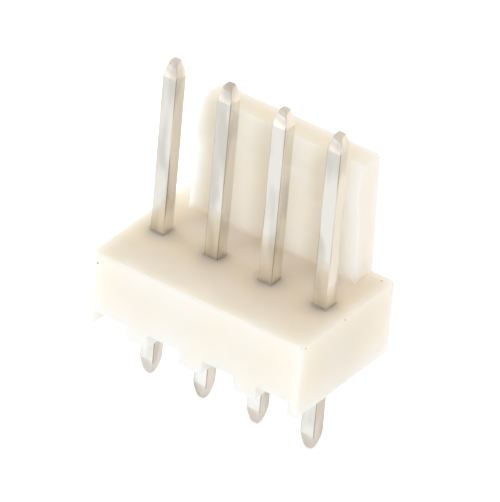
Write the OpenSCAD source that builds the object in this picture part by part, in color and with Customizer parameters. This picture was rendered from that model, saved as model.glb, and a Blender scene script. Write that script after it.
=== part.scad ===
// Vertical board header with a friction lock: a moulded housing and a row of square pins.
// The row of pins runs along X, the lock wall stands at +Y, and Z = 0 is the face of the board.
// The origin is the middle of the pin row on that face.

/* [Row] */
// Number of pins in the row
positions = 4; // [2:2:12]
// Distance from one pin to the next
pitch = 2.54; // [2.3:0.01:4]

/* [Pins] */
// Side of the square wire
pin_w = 0.64; // [0.5:0.01:0.8]
// Height of the mating posts above the body
post_h = 7.7; // [6.5:0.1:12]
// Length of the solder tails below the board face
tail_l = 3.42; // [2:0.01:6]
// Length of the coined taper at each end of a pin
taper_l = 0.74; // [0.4:0.01:1.2]
// Radius of the curve along the taper
taper_r = 3; // [1.5:0.1:8]
// Width of the blunt end of a pin
end_w = 0.29; // [0.15:0.01:0.4]
// Radius of the slight dome on the blunt end
dome_r = 0.4; // [0.3:0.05:2]
// How far a retention barb stands proud of the wire
barb_proud = 0.06; // [0.02:0.01:0.12]
// Length of a retention barb
barb_l = 0.6; // [0.3:0.05:1]
// Height of the lower end of a barb above the board face
barb_z = 1.3; // [1.1:0.05:1.6]

/* [Body] */
// Height of the body above the board face
body_h = 3.25; // [2.7:0.05:5]
// Distance from the pin row to the front face
row_to_front = 3.1; // [2:0.05:5]
// Distance from the pin row to the back face
row_to_back = 3.1; // [2.4:0.05:5]
// Distance from an end pin to the end face
row_to_end = 1.175; // [1:0.005:2]
// Radius on the outer edges of the body
edge_r = 0.12; // [0.05:0.01:0.2]

/* [Feet] */
// Width of the cleaning channel under each pin
channel_w = 1.5; // [1.2:0.05:1.7]
// Height of the cleaning channels
channel_h = 0.62; // [0.3:0.01:0.9]
// Radius in the upper corners of the channels
channel_r = 0.1; // [0.05:0.01:0.2]

/* [Lock wall] */
// Height of the lock wall above the body
wall_h = 5.24; // [4:0.05:8]
// Thickness of the lock wall
wall_t = 1.2; // [0.8:0.05:1.5]
// Distance from the end of the body to the end of the wall
wall_inset = 1.05; // [0.3:0.05:2]
// How far each end of the wall leans in from its foot to its top
wall_draft = 0.15; // [0:0.01:0.3]
// How far the lock ramp stands proud of the wall
ramp_proud = 0.3; // [0.1:0.05:0.5]
// Height of the lead-in slope, from the crest of the ramp to the top of the wall
ramp_lead = 1.35; // [0.8:0.05:2]
// Height of the catch slope below the crest
ramp_catch = 1; // [0.4:0.05:1.6]
// Radius on the crest of the ramp, and where its catch slope meets the wall
crest_r = 1; // [0.1:0.05:1.5]
// Width of the broken edges along the top of the wall
wall_break = 0.08; // [0.05:0.01:0.2]
// Radius on the upper corners of the wall, seen from the front
wall_corner_r = 0.2; // [0.1:0.05:0.6]
// Radius at the foot of the wall
wall_root_r = 0.15; // [0.05:0.05:0.3]

/* [Fits] */
// Clearance between a pin and its hole, on every side
fit_gap = 0.02; // [0.01:0.005:0.04]
// Size of the chamfer round the upper mouth of a hole
top_lead_in = 0.04; // [0.03:0.01:0.12]
// Size of the chamfer round the lower mouth of a hole
bottom_lead_in = 0.18; // [0.1:0.01:0.22]

/* [Hidden] */
$fn = 96;
row_l = (positions - 1) * pitch;
body_w = row_l + 2 * row_to_end;
wall_w = body_w - 2 * wall_inset;
wall_top = body_h + wall_h;
wall_front = row_to_back - wall_t;
wall_foot = body_h / 2;
hole_w = pin_w + 2 * fit_gap;
nylon = "#F1EADA";
tin = "#CECBC1";
over = 1;

// Place of one pin along the row
function pin_x(i) = (i - 1) * pitch - row_l / 2;

function unit(v) = v / norm(v);

// Twice the signed area of the triangle a, b, c: positive where the path turns left
function turn(a, b, c) = (b.x - a.x) * (c.y - b.y) - (b.y - a.y) * (c.x - b.x);

// Centre of the circle of radius r through a and b, to the left of the way from a to b
function arc_centre(a, b, r) =
    let (half = norm(b - a) / 2, along = unit(b - a))
    (a + b) / 2 + [-along.y, along.x] * sqrt(r * r - half * half);

// The sliver between a corner at p and an arc of radius r that touches both of its sides
module corner_sliver(before, p, after, r) {
    u = unit(before - p);
    v = unit(after - p);
    half = acos(u * v) / 2;
    reach = r / tan(half);
    centre = p + unit(u + v) * r / sin(half);
    difference() {
        polygon([p, p + u * reach, centre, p + v * reach]);
        translate(centre) circle(r);
    }
}

// A closed outline, anticlockwise, as [x, y, corner radius]
module rounded_outline(corners) {
    n = len(corners);
    points = [for (c = corners) [c.x, c.y]];
    difference() {
        union() {
            polygon(points);
            corner_slivers(corners, points, n, false);
        }
        corner_slivers(corners, points, n, true);
    }
}

module corner_slivers(corners, points, n, outward) {
    for (i = [0 : n - 1]) {
        before = points[(i + n - 1) % n];
        after = points[(i + 1) % n];
        if (corners[i].z > 0 && turn(before, points[i], after) > 0 == outward)
            corner_sliver(before, points[i], after, corners[i].z);
    }
}

// Extrudes an outline drawn as seen from the front, from y0 back to y1
module from_front(y0, y1) {
    translate([0, y1, 0]) rotate([90, 0, 0]) linear_extrude(y1 - y0) children();
}

// Extrudes an outline drawn as seen from the right end, over a width centred on the row
module from_end(w) {
    rotate([90, 0, 90]) linear_extrude(w, center = true) children();
}

// A bar of square section that has the same outline from the front and from the end
module square_bar(w) {
    intersection() {
        from_front(-w / 2, w / 2) children();
        from_end(w) children();
    }
}

module body_block() {
    x = body_w / 2;
    f = -row_to_front;
    b = row_to_back;
    intersection() {
        linear_extrude(body_h)
            rounded_outline([[-x, f, edge_r], [x, f, edge_r], [x, b, edge_r], [-x, b, edge_r]]);
        from_front(f, b)
            rounded_outline([[-x, 0, 0], [x, 0, 0], [x, body_h, edge_r], [-x, body_h, edge_r]]);
        from_end(body_w)
            rounded_outline([[f, 0, 0], [b, 0, 0], [b, body_h, edge_r], [f, body_h, edge_r]]);
    }
}

// Side view of the wall, with the lead-in slope and the catch slope of the lock ramp
module wall_side() {
    crest = wall_top - ramp_lead;
    proud = wall_front - ramp_proud;
    step = proud - wall_root_r;
    shoulder = wall_top - wall_break;
    rounded_outline([
        [step, wall_foot, 0],
        [row_to_back, wall_foot, 0],
        [row_to_back, shoulder, 0],
        [row_to_back - wall_break, wall_top, 0],
        [wall_front + wall_break, wall_top, 0],
        [wall_front - ramp_proud * wall_break / ramp_lead, shoulder, 0],
        [proud, crest, crest_r],
        [wall_front, crest - ramp_catch, crest_r],
        [wall_front, body_h, wall_root_r],
        [step, body_h, 0],
    ]);
}

// Front view of the wall, whose ends lean in towards the top
module wall_face() {
    foot = wall_w / 2;
    top = foot - wall_draft;
    rounded_outline([
        [-foot, wall_foot, 0],
        [foot, wall_foot, 0],
        [foot, body_h, 0],
        [top, wall_top, wall_corner_r],
        [-top, wall_top, wall_corner_r],
        [-foot, body_h, 0],
    ]);
}

module lock_wall() {
    intersection() {
        from_end(wall_w) wall_side();
        from_front(0, row_to_back) wall_face();
    }
}

// Cross-section of the channel that lets flux out from under the body
module channel() {
    x = channel_w / 2;
    from_front(-row_to_front - over, row_to_back + over)
        rounded_outline([[-x, -over, 0], [x, -over, 0], [x, channel_h, channel_r], [-x, channel_h, channel_r]]);
}

// Profile of a hole from the channel up to the top face, with a chamfer at each mouth
module hole_outline() {
    x = hole_w / 2;
    low = x + bottom_lead_in;
    high = x + top_lead_in;
    polygon([
        [-low, channel_h - over],
        [low, channel_h - over],
        [low, channel_h],
        [x, channel_h + bottom_lead_in],
        [x, body_h - top_lead_in],
        [high, body_h],
        [high, body_h + over],
        [-high, body_h + over],
        [-high, body_h],
        [-x, body_h - top_lead_in],
        [-x, channel_h + bottom_lead_in],
        [-low, channel_h],
    ]);
}

// Wedge-shaped barbs on two opposite sides of a pin, widest at their lower end
module barbs(gap) {
    x = pin_w / 2;
    tip = x + barb_proud + gap;
    low = barb_z - gap;
    high = barb_z + barb_l + gap;
    from_front(-x - gap, x + gap)
        polygon([[-tip, low], [tip, low], [x + gap, high], [-x - gap, high]]);
}

module pin_seat() {
    square_bar(hole_w + 2 * bottom_lead_in) hole_outline();
    barbs(fit_gap);
}

module housing() {
    color(nylon)
    difference() {
        union() {
            body_block();
            lock_wall();
        }
        for (i = [1 : positions]) {
            translate([pin_x(i), 0, 0]) {
                channel();
                pin_seat();
            }
        }
    }
}

// Outline of one coined end, from the shoulder up to the domed blunt end
module coined_end() {
    centre = arc_centre([pin_w / 2, 0], [end_w / 2, taper_l], taper_r);
    intersection() {
        translate([-pin_w / 2, 0]) square([pin_w, taper_l]);
        translate(centre) circle(taper_r);
        mirror([1, 0]) translate(centre) circle(taper_r);
        translate([0, taper_l - dome_r]) circle(dome_r);
    }
}

module pin() {
    upper = body_h + post_h - taper_l;
    lower = taper_l - tail_l;
    color(tin)
    union() {
        square_bar(pin_w) {
            translate([-pin_w / 2, lower]) square([pin_w, upper - lower]);
            translate([0, upper]) coined_end();
            translate([0, lower]) mirror([0, 1]) coined_end();
        }
        barbs(0);
    }
}

housing();
for (i = [1 : positions])
    translate([pin_x(i), 0, 0]) pin();
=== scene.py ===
import math

import bmesh
import bpy
from mathutils import Matrix, Vector


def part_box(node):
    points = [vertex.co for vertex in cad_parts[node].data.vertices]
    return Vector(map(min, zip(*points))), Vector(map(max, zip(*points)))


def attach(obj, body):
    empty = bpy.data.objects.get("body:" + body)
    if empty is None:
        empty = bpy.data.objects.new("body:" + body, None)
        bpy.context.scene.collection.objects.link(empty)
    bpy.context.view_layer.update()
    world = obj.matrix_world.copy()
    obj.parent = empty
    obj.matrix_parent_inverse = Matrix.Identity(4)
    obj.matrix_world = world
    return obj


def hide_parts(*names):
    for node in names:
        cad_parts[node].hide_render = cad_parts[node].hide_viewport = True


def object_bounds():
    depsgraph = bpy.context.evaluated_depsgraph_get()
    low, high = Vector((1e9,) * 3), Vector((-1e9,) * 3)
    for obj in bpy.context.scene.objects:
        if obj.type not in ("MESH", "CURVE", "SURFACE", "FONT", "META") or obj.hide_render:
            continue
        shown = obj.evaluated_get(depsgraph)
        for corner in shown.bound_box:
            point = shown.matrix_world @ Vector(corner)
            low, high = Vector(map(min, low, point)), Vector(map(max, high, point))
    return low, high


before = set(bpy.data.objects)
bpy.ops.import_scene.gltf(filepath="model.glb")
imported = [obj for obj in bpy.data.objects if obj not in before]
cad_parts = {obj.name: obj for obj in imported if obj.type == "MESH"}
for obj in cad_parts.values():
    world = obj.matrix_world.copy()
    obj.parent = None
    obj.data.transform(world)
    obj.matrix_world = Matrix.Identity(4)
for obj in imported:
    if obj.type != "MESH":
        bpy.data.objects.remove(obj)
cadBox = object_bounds()
print("frame loaded:", ", ".join(sorted(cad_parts)))

mm = 0.001
tiny = 0.002  # how near, in mm, a corner has to be to a height or a plane to lie on it
past = 1.0  # how far, in mm, a cutter reaches out of what it cuts

# how far the surface turns at an edge, in degrees
flatTurn = 0.05  # up to here the edge is dissolved
bendTurn = 3  # past here it is a bend
sharpTurn = 35  # past here its shading is sharp
cornerTurn = 40  # past here it is a corner

scene = bpy.context.scene
scene.view_settings.view_transform = "Standard"


# Colours are written as sRGB hex, as a paint program shows them
def linearColor(hexCode):
    channels = [int(hexCode[i:i + 2], 16) / 255 for i in (1, 3, 5)]
    return [c / 12.92 if c <= 0.04045 else ((c + 0.055) / 1.055) ** 2.4 for c in channels] + [1.0]


# Adds a node: settings are its own properties, inputs are values, or sockets to link from.
# In a colour Mix, input 0 is the second colour's share, 6 and 7 are the colours, and output 2 is the mix.
def addNode(tree, kind, settings=None, inputs=None):
    node = tree.nodes.new(kind)
    for name, value in (settings or {}).items():
        setattr(node, name, value)
    for name, value in (inputs or {}).items():
        if isinstance(value, bpy.types.NodeSocket):
            tree.links.new(value, node.inputs[name])
        else:
            node.inputs[name].default_value = value
    return node


def newMaterial(name):
    material = bpy.data.materials.new(name)
    material.use_nodes = True
    material.node_tree.nodes.clear()
    return material, material.node_tree


# A box between two corners, left in edit mode
def startBox(name, low, high):
    if bpy.context.mode != "OBJECT":
        bpy.ops.object.mode_set(mode="OBJECT")
    bpy.ops.object.select_all(action="DESELECT")
    low, high = Vector(low), Vector(high)
    bpy.ops.mesh.primitive_cube_add(size=1, location=(low + high) / 2, scale=high - low)
    bpy.ops.object.transform_apply(location=True, rotation=True, scale=True)
    piece = bpy.context.object
    piece.name = piece.data.name = name
    bpy.ops.object.mode_set(mode="EDIT")
    return piece


# Selects the corners, edges or faces of the piece in edit mode that pass a test
def pick(kind, test):
    bpy.ops.mesh.select_mode(type=kind)
    bpy.ops.mesh.select_all(action="DESELECT")
    mesh = bmesh.from_edit_mesh(bpy.context.edit_object.data)
    mesh.normal_update()
    parts = {"VERT": mesh.verts, "EDGE": mesh.edges, "FACE": mesh.faces}[kind]
    for part in parts:
        part.select_set(test(part))
    mesh.select_flush_mode()
    bmesh.update_edit_mesh(bpy.context.edit_object.data)


# Cuts a ring of corners round the piece at each height
def cutAt(heights):
    for height in heights:
        bpy.ops.mesh.select_all(action="SELECT")
        bpy.ops.mesh.bisect(plane_co=(0, 0, height), plane_no=(0, 0, 1))


# Scales the ring of corners at one height about a point on that height
def scaleRing(height, centre, scale):
    pick("VERT", lambda v: abs(v.co.z - height) < tiny)
    bpy.ops.transform.resize(value=(scale[0], scale[1], 1), center_override=(centre[0], centre[1], height))


def bevelEdges(test, width, segments):
    pick("EDGE", test)
    bpy.ops.mesh.bevel(offset=width, segments=segments, affect="EDGES")


# Joins the tools to the piece, or cuts them out of it
def combine(piece, tools, operation):
    bpy.ops.object.mode_set(mode="OBJECT")
    for tool in tools:
        cut = piece.modifiers.new(operation.title(), "BOOLEAN")
        cut.operation, cut.solver, cut.object = operation, "EXACT", tool
        bpy.context.view_layer.objects.active = piece
        bpy.ops.object.modifier_apply(modifier=cut.name)
        bpy.data.objects.remove(tool)
    bpy.ops.object.select_all(action="DESELECT")
    piece.select_set(True)
    bpy.context.view_layer.objects.active = piece
    bpy.ops.object.mode_set(mode="EDIT")


def turnAt(edge):
    return math.degrees(edge.calc_face_angle())


def lowEnd(edge):
    return min(v.co.z for v in edge.verts)


def highEnd(edge):
    return max(v.co.z for v in edge.verts)


# How far an edge runs along one axis: 0 is x, 1 is y, 2 is z
def runAlong(edge, axis):
    return abs(edge.verts[0].co[axis] - edge.verts[1].co[axis])


# Cleans the piece, then breaks the edges that still turn sharply, within a stretch of height
def breakEdges(low, high, width):
    bpy.ops.mesh.select_all(action="SELECT")
    bpy.ops.mesh.remove_doubles(threshold=tiny / 4)
    bpy.ops.mesh.dissolve_limited(angle_limit=math.radians(flatTurn))
    bevelEdges(lambda e: turnAt(e) > cornerTurn and low < lowEnd(e) and highEnd(e) < high, width, segments=3)


# Turns the piece to metres, shades it and puts it in the place of its CAD node
def finishPiece(piece, node, material):
    bpy.ops.mesh.select_all(action="SELECT")
    bpy.ops.mesh.normals_make_consistent(inside=False)
    bpy.ops.object.mode_set(mode="OBJECT")
    piece.scale = (mm, mm, mm)
    bpy.ops.object.transform_apply(location=True, rotation=True, scale=True)
    bpy.ops.object.shade_smooth_by_angle(angle=math.radians(sharpTurn), keep_sharp_edges=True)
    flatten = piece.modifiers.new("Face weights", "WEIGHTED_NORMAL")
    flatten.keep_sharp = True
    bpy.ops.object.modifier_apply(modifier=flatten.name)
    piece.data.materials.clear()
    piece.data.materials.append(material)
    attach(piece, "root")
    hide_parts(node)
    print("modelled", piece.name, len(piece.data.polygons), "faces")
    return piece


wireNames = sorted(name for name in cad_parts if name.startswith("pin_"))
wirePlaces = [sum(corner.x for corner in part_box(name)) / 2 / mm for name in wireNames]
wireLow, wireHigh = [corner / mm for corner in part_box(wireNames[0])]

wire = {
    "side": wireHigh.y - wireLow.y,
    "cornerRadius": 0.045,
    "taperLength": 0.74,
    "taperRadius": 3.0,  # the coining die is slightly hollow, so the taper bulges
    "endWidth": 0.29,
    "domeRadius": 0.4,
    "domeInset": 0.05,
    "domeRises": (0.62, 0.30),  # share of the dome's height that each inset rises
    "ringsPerTaper": 7,
    "edgeBreak": 0.015,
    "barbHeight": 1.3,
    "barbLength": 0.6,
    "barbProud": 0.06,
    "holeGap": 0.02,
}


# Half the width of a coined end at a distance past its shoulder, on an arc that runs to the blunt end
def taperHalf(distance):
    shoulder, tip = Vector((wire["side"] / 2, 0)), Vector((wire["endWidth"] / 2, wire["taperLength"]))
    along = (tip - shoulder).normalized()
    inward = Vector((-along.y, along.x))
    reach = math.sqrt(wire["taperRadius"] ** 2 - ((tip - shoulder).length / 2) ** 2)
    centre = (shoulder + tip) / 2 + inward * reach
    return centre.x + math.sqrt(wire["taperRadius"] ** 2 - (distance - centre.y) ** 2)


# Wedges on two sides, widest at their lower end: the wire's barbs, or with a gap their seat in the plastic
def barbWedge(x, gap):
    half = wire["side"] / 2 + gap
    wide, deep = half + wire["barbProud"], half - wire["cornerRadius"]
    low, high = wire["barbHeight"] - gap, wire["barbHeight"] + wire["barbLength"] + gap
    wedge = startBox("barbs", (x - wide, -deep, low), (x + wide, deep, high))
    scaleRing(high, (x, 0), (half / wide, 1))
    bpy.ops.object.mode_set(mode="OBJECT")
    return wedge


def makeWire(node, material):
    low, high = [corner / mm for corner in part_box(node)]
    x = (low.x + high.x) / 2
    half = wire["side"] / 2
    piece = startBox(node.replace("pin", "wire"), (x - half, -half, low.z), (x + half, half, high.z))
    domeDrop = wire["domeRadius"] - math.sqrt(wire["domeRadius"] ** 2 - (wire["endWidth"] / 2) ** 2)
    shoulders = (high.z - wire["taperLength"], 1), (low.z + wire["taperLength"], -1)
    rings = [wire["taperLength"] * i / wire["ringsPerTaper"] for i in range(wire["ringsPerTaper"])]
    for shoulder, way in shoulders:
        cutAt([shoulder + way * distance for distance in rings])
        for distance in rings[1:]:
            scaleRing(shoulder + way * distance, (x, 0), [taperHalf(distance) / half] * 2)
        tip = shoulder + way * wire["taperLength"]
        scaleRing(tip, (x, 0), [wire["endWidth"] / 2 / half] * 2)
        # the blunt end: its rim drops back to the foot of the dome, then two insets rise to the crown
        pick("FACE", lambda f: abs(f.calc_center_median().z - tip) < tiny)
        bpy.ops.transform.translate(value=(0, 0, -way * domeDrop))
        for rise in wire["domeRises"]:
            bpy.ops.mesh.inset(thickness=wire["domeInset"], use_even_offset=True)
            bpy.ops.transform.translate(value=(0, 0, way * domeDrop * rise))

    # corners of the wire, all along it, rounded by the drawing die
    bevelEdges(lambda e: runAlong(e, 2) > domeDrop and len(e.link_faces) == 2 and turnAt(e) > cornerTurn,
               wire["cornerRadius"], segments=3)
    breakEdges(low.z - past, high.z + past, wire["edgeBreak"])

    # the shoulders stay crisp, and so do the lines that run from one to the other
    def isOnShoulder(vert):
        return min(abs(vert.co.z - shoulder) for shoulder, way in shoulders) < tiny

    pick("EDGE", lambda e: all(isOnShoulder(v) for v in e.verts))
    bpy.ops.mesh.mark_sharp()
    combine(piece, [barbWedge(x, 0)], "UNION")
    return finishPiece(piece, node, material)


housingLow, housingHigh = [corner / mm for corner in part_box("housing")]

housing = {
    "bodyHeight": 3.25,
    "edgeRadius": 0.12,
    "channelWidth": 1.5,
    "channelHeight": 0.62,
    "channelRadius": 0.1,
    "wallThickness": 1.2,
    "wallInset": 1.05,
    "wallDraft": 0.15,
    "wallCorner": 0.2,
    "wallEdge": 0.08,
    "wallRoot": 0.15,
    "rootSegments": 4,
    "rampProud": 0.3,
    "rampLead": 1.35,
    "rampCatch": 1.0,
    "crestRadius": 1.0,
    "topLeadIn": 0.04,
    "bottomLeadIn": 0.18,
    "edgeBreak": 0.03,
}


def makeWall():
    top, back, foot = housingHigh.z, housingHigh.y, housing["bodyHeight"]
    front = back - housing["wallThickness"]
    halfWidth = housingHigh.x - housing["wallInset"]
    crest = top - housing["rampLead"]
    catch = crest - housing["rampCatch"]
    wall = startBox("wall", (-halfWidth, front, foot / 2), (halfWidth, back, top))

    # the foot flares forward in a fillet, and the ends of the wall lean in above it
    root, turns = housing["wallRoot"], housing["rootSegments"]
    arc = [math.radians(90 * i / turns) for i in range(turns + 1)]
    rings = [(foot / 2, root)]
    rings += [(foot + root * (1 - math.cos(a)), root * (1 - math.sin(a))) for a in arc]
    rings += [(catch, 0), (crest, 0), (top, 0)]
    cutAt([height for height, spread in rings[1:-1]])
    for height, spread in rings:
        lean = housing["wallDraft"] * max(0, height - foot) / (top - foot)
        scaleRing(height, (0, back), (1 - lean / halfWidth, 1 + spread / (back - front)))

    # the crest of the ramp stands forward
    pick("VERT", lambda v: abs(v.co.z - crest) < tiny and v.co.y < front + tiny)
    bpy.ops.transform.translate(value=(0, -housing["rampProud"], 0))

    # the upper corners, then the edges round both ends and along the top, then the two bends of the ramp
    def isOnTop(edge):
        return lowEnd(edge) > top - tiny

    def isAcross(edge):
        return runAlong(edge, 0) > halfWidth / 2

    bevelEdges(lambda e: isOnTop(e) and not isAcross(e), housing["wallCorner"], segments=6)
    bevelEdges(lambda e: turnAt(e) > cornerTurn and (isOnTop(e) or not isAcross(e))
               and highEnd(e) > foot / 2 + tiny, housing["wallEdge"], segments=3)
    lead, slip = [math.atan(housing["rampProud"] / housing[slope]) for slope in ("rampLead", "rampCatch")]
    for bend, turn in ((crest, lead + slip), (catch, slip)):
        bevelEdges(lambda e: turnAt(e) > bendTurn and bend - tiny < lowEnd(e) and highEnd(e) < bend + tiny,
                   housing["crestRadius"] * math.tan(turn / 2), segments=6)
    bpy.ops.object.mode_set(mode="OBJECT")
    return wall


# The channel under one wire, which lets flux and water out
def makeChannel(x):
    half, top = housing["channelWidth"] / 2, housing["channelHeight"]
    low, high = (x - half, housingLow.y - past, -past), (x + half, housingHigh.y + past, top)
    channel = startBox("channel", low, high)
    bevelEdges(lambda e: lowEnd(e) > top - tiny and runAlong(e, 1) > housingHigh.y,
               housing["channelRadius"], segments=4)
    bpy.ops.object.mode_set(mode="OBJECT")
    return channel


# The square hole of one wire, with a chamfer at each mouth
def makeHole(x):
    half = wire["side"] / 2 + wire["holeGap"]
    roof, top = housing["channelHeight"], housing["bodyHeight"]
    low, high = roof - past / 2, top + past / 2
    hole = startBox("hole", (x - half, -half, low), (x + half, half, high))
    cutAt([roof, roof + housing["bottomLeadIn"], top - housing["topLeadIn"], top])
    for heights, leadIn in (((low, roof), housing["bottomLeadIn"]), ((top, high), housing["topLeadIn"])):
        for height in heights:
            scaleRing(height, (x, 0), [1 + leadIn / half] * 2)
    bpy.ops.object.mode_set(mode="OBJECT")
    return hole


def makeHousing(material):
    piece = startBox("housing_moulding", housingLow, (housingHigh.x, housingHigh.y, housing["bodyHeight"]))
    bevelEdges(lambda e: highEnd(e) > tiny, housing["edgeRadius"], segments=5)
    combine(piece, [makeWall()], "UNION")
    combine(piece, [makeChannel(x) for x in wirePlaces], "DIFFERENCE")
    combine(piece, [makeHole(x) for x in wirePlaces], "DIFFERENCE")
    breakEdges(-past, housing["channelHeight"] + tiny, housing["edgeBreak"])
    combine(piece, [barbWedge(x, wire["holeGap"]) for x in wirePlaces], "DIFFERENCE")
    return finishPiece(piece, "housing", material)


# Natural nylon, injection moulded in a spark-eroded mould: satin, faintly grained, and light goes a
# millimetre or so into it, which rounds its shading, lightens its edges and warms its corners
nylon = {
    "color": "#ECE4D6",
    "cloudColor": "#EBE2CF",
    "cloudMm": 2.6,
    # painted shade: the yellower tint that the shade takes round each wire's foot, and how far it reaches
    "pinShadeColor": "#F4E4CC",
    "pinShadeRadiusMm": 2.2,
    "speckColor": "#9C8468",
    "speckCoreMm": 0.012,
    "speckRadiusMm": 0.068,
    "speckShare": 0.85,
    "specks": [(-4.55, -3.1, 2.84), (4.985, -2.84, 3.13), (4.985, -0.25, 3.13), (4.61, 2.69, 3.25)],
    "grainMm": 0.12,  # the real texture is about 0.03 mm, too fine to show
    "grainHeightMm": 0.0025,
    "sinkMm": 2.2,
    "sinkHeightMm": 0.012,
    "lightDepthMm": 1.6,
    "roughness": (0.52, 0.64),
    "refraction": 1.53,
    "specular": 0.25,
}


def makeNylon():
    material, tree = newMaterial("Nylon, injection moulded")
    place = addNode(tree, "ShaderNodeTexCoord").outputs["Object"]

    # slow clouds where the melt flowed, a little yellower than the rest
    clouds = addNode(tree, "ShaderNodeTexNoise", inputs={
        "Vector": place, "Scale": 1 / (nylon["cloudMm"] * mm), "Detail": 2.0, "Roughness": 0.5})
    cloudShare = addNode(tree, "ShaderNodeMapRange", inputs={
        "Value": clouds.outputs["Fac"], "From Min": 0.35, "From Max": 0.7})
    color = addNode(tree, "ShaderNodeMix", {"data_type": "RGBA"}, {
        0: cloudShare.outputs[0],
        6: linearColor(nylon["color"]), 7: linearColor(nylon["cloudColor"])}).outputs[2]

    # round spots: a painted yellow tint of the shade round the wires' feet, and burnt specks of resin
    shadeAndSpecks = [((x, 0, housing["bodyHeight"]), wire["side"] / 2, nylon["pinShadeRadiusMm"], 1.0, nylon["pinShadeColor"])
             for x in wirePlaces]
    shadeAndSpecks += [(speck, nylon["speckCoreMm"], nylon["speckRadiusMm"], nylon["speckShare"], nylon["speckColor"])
              for speck in nylon["specks"]]
    for centre, core, radius, share, shadeAndSpeckColor in shadeAndSpecks:
        away = addNode(tree, "ShaderNodeVectorMath", {"operation": "DISTANCE"}, {
            0: place, 1: [c * mm for c in centre]})
        inside = addNode(tree, "ShaderNodeMapRange", {"interpolation_type": "SMOOTHSTEP"}, {
            "Value": away.outputs["Value"], "From Min": core * mm, "From Max": radius * mm,
            "To Min": share, "To Max": 0.0})
        color = addNode(tree, "ShaderNodeMix", {"data_type": "RGBA"}, {
            0: inside.outputs[0], 6: color, 7: linearColor(shadeAndSpeckColor)}).outputs[2]

    # spark-eroded grain, on faces that sink a little as they cool
    grain = addNode(tree, "ShaderNodeTexNoise", inputs={
        "Vector": place, "Scale": 1 / (nylon["grainMm"] * mm), "Detail": 3.0, "Roughness": 0.6})
    smoothest, roughest = nylon["roughness"]
    rough = addNode(tree, "ShaderNodeMapRange", inputs={
        "Value": grain.outputs["Fac"], "From Min": 0.3, "From Max": 0.7,
        "To Min": smoothest, "To Max": roughest})
    sinks = addNode(tree, "ShaderNodeTexNoise", inputs={
        "Vector": place, "Scale": 1 / (nylon["sinkMm"] * mm), "Detail": 1.0, "Roughness": 0.4})
    wavy = addNode(tree, "ShaderNodeBump", inputs={
        "Height": sinks.outputs["Fac"], "Strength": 1.0, "Distance": nylon["sinkHeightMm"] * mm})
    grained = addNode(tree, "ShaderNodeBump", inputs={
        "Height": grain.outputs["Fac"], "Strength": 1.0, "Distance": nylon["grainHeightMm"] * mm,
        "Normal": wavy.outputs["Normal"]})
    surface = addNode(tree, "ShaderNodeBsdfPrincipled", inputs={
        "Base Color": color, "Roughness": rough.outputs[0], "Normal": grained.outputs["Normal"],
        "IOR": nylon["refraction"], "Specular IOR Level": nylon["specular"], "Subsurface Weight": 1.0,
        "Subsurface Radius": (1.0, 1.0, 1.0), "Subsurface Scale": nylon["lightDepthMm"] * mm})
    addNode(tree, "ShaderNodeOutputMaterial", inputs={"Surface": surface.outputs[0]})
    return material


# Tin, bright electroplated on drawn square wire: it mirrors what is round it, softened by faint drawing
# lines along the wire, and uneven where the plate is thicker or has been handled
tin = {
    "color": "#F1EFEA",
    "dullColor": "#D9D7D0",
    "patchMm": 0.8,
    "patchStretch": 0.3,
    # painted reflection: a dark line along the wire's corners, with its colour, width, fade and strength
    "cornerReflectionColor": "#A8937C",
    "cornerReflectionWidthMm": 0.045,
    "cornerReflectionFadeMm": 0.027,  # the painted reflection line fades out over this
    "cornerReflectionShare": (0.2, 0.85),
    "roughness": (0.08, 0.2),
    "lineMm": 0.05,  # real drawing lines are a few microns apart, too fine to show
    "lineStretch": 0.02,
    "lineHeightMm": 0.0006,
    "dentMm": 0.9,
    "dentHeightMm": 0.006,
}


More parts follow.
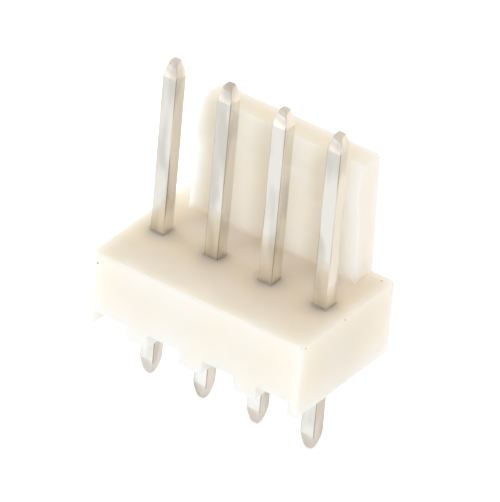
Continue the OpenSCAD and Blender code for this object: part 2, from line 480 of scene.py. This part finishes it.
def makeTin():
    material, tree = newMaterial("Tin, bright plated drawn wire")
    place = addNode(tree, "ShaderNodeTexCoord").outputs["Object"]

    # dull patches, drawn out along the wire
    patchPlace = addNode(tree, "ShaderNodeMapping", inputs={
        "Vector": place, "Scale": (1, 1, tin["patchStretch"])}).outputs[0]
    patches = addNode(tree, "ShaderNodeTexNoise", inputs={
        "Vector": patchPlace, "Scale": 1 / (tin["patchMm"] * mm), "Detail": 1.5, "Roughness": 0.5})
    dullness = addNode(tree, "ShaderNodeMapRange", {"interpolation_type": "SMOOTHSTEP"}, {
        "Value": patches.outputs["Fac"], "From Min": 0.45, "From Max": 0.68})
    color = addNode(tree, "ShaderNodeMix", {"data_type": "RGBA"}, {
        0: dullness.outputs[0], 6: linearColor(tin["color"]), 7: linearColor(tin["dullColor"])})

    # along its corners a dark reflection is painted in: near a corner, both distances from the middle of the
    # wire are large
    spread = addNode(tree, "ShaderNodeSeparateXYZ", inputs={0: place})
    fromFirst = addNode(tree, "ShaderNodeMath", {"operation": "SUBTRACT"}, {
        0: spread.outputs[0], 1: wirePlaces[0] * mm})
    across = addNode(tree, "ShaderNodeMath", {"operation": "PINGPONG"}, {
        0: fromFirst.outputs[0], 1: (wirePlaces[1] - wirePlaces[0]) / 2 * mm})
    deep = addNode(tree, "ShaderNodeMath", {"operation": "ABSOLUTE"}, {0: spread.outputs[1]})
    cornerward = addNode(tree, "ShaderNodeMath", {"operation": "MINIMUM"}, {
        0: across.outputs[0], 1: deep.outputs[0]})
    lineStart = wire["side"] / 2 - tin["cornerReflectionWidthMm"]
    cornerReflectionMask = addNode(tree, "ShaderNodeMapRange", {"interpolation_type": "SMOOTHSTEP"}, {
        "Value": cornerward.outputs[0], "From Min": lineStart * mm,
        "From Max": (lineStart + tin["cornerReflectionFadeMm"]) * mm})
    faintestReflection, strongestReflection = tin["cornerReflectionShare"]
    reflectionStrength = addNode(tree, "ShaderNodeMapRange", inputs={
        "Value": patches.outputs["Fac"], "From Min": 0.35, "From Max": 0.5,
        "To Min": faintestReflection, "To Max": strongestReflection})
    paintedReflection = addNode(tree, "ShaderNodeMath", {"operation": "MULTIPLY"}, {
        0: cornerReflectionMask.outputs[0], 1: reflectionStrength.outputs[0]})
    color = addNode(tree, "ShaderNodeMix", {"data_type": "RGBA"}, {
        0: paintedReflection.outputs[0], 6: color.outputs[2], 7: linearColor(tin["cornerReflectionColor"])})

    # drawing lines over small dents
    linePlace = addNode(tree, "ShaderNodeMapping", inputs={
        "Vector": place, "Scale": (1, 1, tin["lineStretch"])}).outputs[0]
    lines = addNode(tree, "ShaderNodeTexNoise", inputs={
        "Vector": linePlace, "Scale": 1 / (tin["lineMm"] * mm), "Detail": 2.0, "Roughness": 0.5})
    dents = addNode(tree, "ShaderNodeTexNoise", inputs={
        "Vector": place, "Scale": 1 / (tin["dentMm"] * mm), "Detail": 1.5, "Roughness": 0.5})
    brightest, dullest = tin["roughness"]
    rough = addNode(tree, "ShaderNodeMapRange", inputs={
        "Value": patches.outputs["Fac"], "From Min": 0.35, "From Max": 0.7,
        "To Min": brightest, "To Max": dullest})
    dented = addNode(tree, "ShaderNodeBump", inputs={
        "Height": dents.outputs["Fac"], "Strength": 1.0, "Distance": tin["dentHeightMm"] * mm})
    drawn = addNode(tree, "ShaderNodeBump", inputs={
        "Height": lines.outputs["Fac"], "Strength": 1.0, "Distance": tin["lineHeightMm"] * mm,
        "Normal": dented.outputs["Normal"]})
    surface = addNode(tree, "ShaderNodeBsdfPrincipled", inputs={
        "Base Color": color.outputs[2], "Metallic": 1.0, "Roughness": rough.outputs[0],
        "Normal": drawn.outputs["Normal"]})
    addNode(tree, "ShaderNodeOutputMaterial", inputs={"Surface": surface.outputs[0]})
    return material


nylonMaterial = makeNylon()
tinMaterial = makeTin()
pieces = [makeHousing(nylonMaterial)] + [makeWire(name, tinMaterial) for name in wireNames]
print("object modelled:", len(pieces), "pieces")


studio = {
    "floorSize": 0.9,  # in metres, as are the size and the distance of the lamps
    "floorColor": "#E9E7E3",
    "floorGlow": 0.5,  # added where the camera sees the lit floor, so that it is white outside the shadow
    "floorFill": "#848D98",  # added to the light that matt surfaces get from the floor
    "shines": [
        # what metal sees of the floor: distance behind the object's middle, in mm, and colour
        (-110, "#6C5848"),
        (-60, "#7C6C60"),
        (-40, "#BEB6AF"),
        (-31, "#BEB6AF"),
        (-24, "#6E757F"),
        (-10, "#6E757F"),
        (-4, "#B4B8BC"),
        (-1.2, "#B4B8BC"),
        (-0.5, "#706860"),
        (12, "#706654"),
        (24, "#8C7E70"),
    ],
    "horizonColor": "#ECE1D7",  # what metal sees of the room
    "ceilingColor": "#E4D9CF",
    "ceilingRise": (0.12, 0.55),  # sines of the angles between which the horizon turns into the ceiling
    "fill": 0.46,
    "fillColor": "#FFFDFA",
    "lampSize": 0.16,
    "lampDistance": 0.30,
    "lampTargetMm": (0, 0, 4),
    "lamps": [
        # name, azimuth and height in degrees, power in watts, colour
        ("Front left softbox", -25, 10, 0.41, "#CAE0FF"),
        ("Front right softbox", 32, 10, 0.29, "#E1EBFF"),
        ("Right softbox", 75, 10, 0.07, "#FFECC4"),
        ("Back right softbox", 140, 20, 0.23, "#E4E6FF"),
        ("Overhead softbox", 190, 70, 0.25, "#FFE4B0"),
        ("Left softbox", 260, 20, 0.5, "#DEEAFF"),
    ],
}


# How much a ray counts as the camera's own, and how much as one off metal or through glass
def whoLooks(tree):
    path = addNode(tree, "ShaderNodeLightPath").outputs
    others = addNode(tree, "ShaderNodeMath", {"operation": "ADD", "use_clamp": True}, {
        0: path["Is Glossy Ray"], 1: path["Is Transmission Ray"]})
    return path["Is Camera Ray"], others.outputs[0]


def makeFloor():
    material, tree = newMaterial("Floor, matt white board")
    camera, metal = whoLooks(tree)
    board = addNode(tree, "ShaderNodeBsdfDiffuse", inputs={"Color": linearColor(studio["floorColor"])})

    # the tones that metal sees, in a ramp from the front of the floor to the back
    place = addNode(tree, "ShaderNodeTexCoord").outputs["Object"]
    depth = addNode(tree, "ShaderNodeSeparateXYZ", inputs={0: place}).outputs[1]
    front, back = studio["shines"][0][0], studio["shines"][-1][0]
    along = addNode(tree, "ShaderNodeMapRange", inputs={
        "Value": depth, "From Min": front * mm, "From Max": back * mm})
    shine = addNode(tree, "ShaderNodeValToRGB", inputs={0: along.outputs[0]})
    ramp = shine.color_ramp.elements
    for distance, color in studio["shines"][1:-1]:
        ramp.new((distance - front) / (back - front))
    for element, (distance, color) in zip(ramp, studio["shines"]):
        element.color = linearColor(color)

    plain = addNode(tree, "ShaderNodeMix", {"data_type": "RGBA"}, {
        0: camera, 6: linearColor(studio["floorFill"]), 7: [studio["floorGlow"]] * 3 + [1.0]})
    glow = addNode(tree, "ShaderNodeMix", {"data_type": "RGBA"}, {
        0: metal, 6: plain.outputs[2], 7: shine.outputs[0]})
    light = addNode(tree, "ShaderNodeEmission", inputs={"Color": glow.outputs[2]})
    both = addNode(tree, "ShaderNodeAddShader", inputs={0: board.outputs[0], 1: light.outputs[0]})
    addNode(tree, "ShaderNodeOutputMaterial", inputs={"Surface": both.outputs[0]})
    bpy.ops.object.select_all(action="DESELECT")
    bpy.ops.mesh.primitive_plane_add(size=studio["floorSize"], location=(0, 0, cadBox[0].z))
    floor = bpy.context.object
    floor.name = "floor"
    floor.data.materials.append(material)


# White all round for the camera; metal sees a warm pale room, and matt surfaces get an even fill
def makeWorld():
    world = bpy.data.worlds.new("Studio")
    scene.world = world
    world.use_nodes = True
    tree = world.node_tree
    tree.nodes.clear()
    camera, metal = whoLooks(tree)
    direction = addNode(tree, "ShaderNodeTexCoord").outputs["Generated"]
    height = addNode(tree, "ShaderNodeSeparateXYZ", inputs={0: direction}).outputs[2]
    horizonEnd, ceilingStart = studio["ceilingRise"]
    overhead = addNode(tree, "ShaderNodeMapRange", inputs={
        "Value": height, "From Min": horizonEnd, "From Max": ceilingStart})
    room = addNode(tree, "ShaderNodeMix", {"data_type": "RGBA"}, {
        0: overhead.outputs[0],
        6: linearColor(studio["horizonColor"]), 7: linearColor(studio["ceilingColor"])})
    lit = addNode(tree, "ShaderNodeMix", {"data_type": "RGBA"}, {
        0: metal, 6: linearColor(studio["fillColor"]), 7: room.outputs[2]})
    seen = addNode(tree, "ShaderNodeMix", {"data_type": "RGBA"}, {
        0: camera, 6: lit.outputs[2], 7: linearColor("#FFFFFF")})
    direct = addNode(tree, "ShaderNodeMath", {"operation": "ADD", "use_clamp": True}, {0: camera, 1: metal})
    strength = addNode(tree, "ShaderNodeMapRange", inputs={
        "Value": direct.outputs[0], "To Min": studio["fill"], "To Max": 1.0})
    sky = addNode(tree, "ShaderNodeBackground", inputs={
        "Color": seen.outputs[2], "Strength": strength.outputs[0]})
    addNode(tree, "ShaderNodeOutputWorld", inputs={"Surface": sky.outputs[0]})


# Puts a lamp or the camera at a distance from a target and turns it there; azimuth 0 is the front
def aimAt(thing, target, azimuth, height, distance):
    turn, tilt = math.radians(azimuth), math.radians(height)
    back = Vector((math.sin(turn) * math.cos(tilt), -math.cos(turn) * math.cos(tilt), math.sin(tilt)))
    thing.location = target + back * distance
    thing.rotation_euler = (math.pi / 2 - tilt, 0, turn)


def makeLamps():
    for name, azimuth, height, power, color in studio["lamps"]:
        lamp = bpy.data.lights.new(name, "AREA")
        lamp.size, lamp.energy, lamp.color = studio["lampSize"], power, linearColor(color)[:3]
        lampObject = bpy.data.objects.new(name, lamp)
        scene.collection.objects.link(lampObject)
        # metal mirrors the room and the floor alone, and no bare lamp
        lampObject.visible_camera = lampObject.visible_glossy = False
        aimAt(lampObject, Vector(studio["lampTargetMm"]) * mm, azimuth, height, studio["lampDistance"])


makeFloor()
makeWorld()
makeLamps()
print("studio lit")


view = {
    "azimuth": 32.667,
    "height": 33.621,
    "roll": 5.195,
    "distanceMm": 328.4,
    "lens": 618.8,
    "sensor": 36,
    "clip": (0.01, 10),
    "targetMm": (0, 0, 4.0),
    "asideMm": (0.23, -0.086),  # sets the object a little left of the middle of the frame and above it
}


def makeCamera():
    camera = bpy.data.cameras.new("Camera")
    camera.lens, camera.sensor_width = view["lens"], view["sensor"]
    camera.clip_start, camera.clip_end = view["clip"]
    cameraObject = bpy.data.objects.new("Camera", camera)
    scene.collection.objects.link(cameraObject)
    target, distance = Vector(view["targetMm"]) * mm, view["distanceMm"] * mm
    aimAt(cameraObject, target, view["azimuth"], view["height"], distance)
    turned = cameraObject.rotation_euler.to_matrix() @ Matrix.Rotation(math.radians(view["roll"]), 3, "Z")
    cameraObject.rotation_euler = turned.to_euler()
    cameraObject.location += turned @ Vector((*view["asideMm"], 0)) * mm
    return cameraObject


bpy.context.scene.camera = makeCamera()
print("camera set")

bpy.context.view_layer.update()
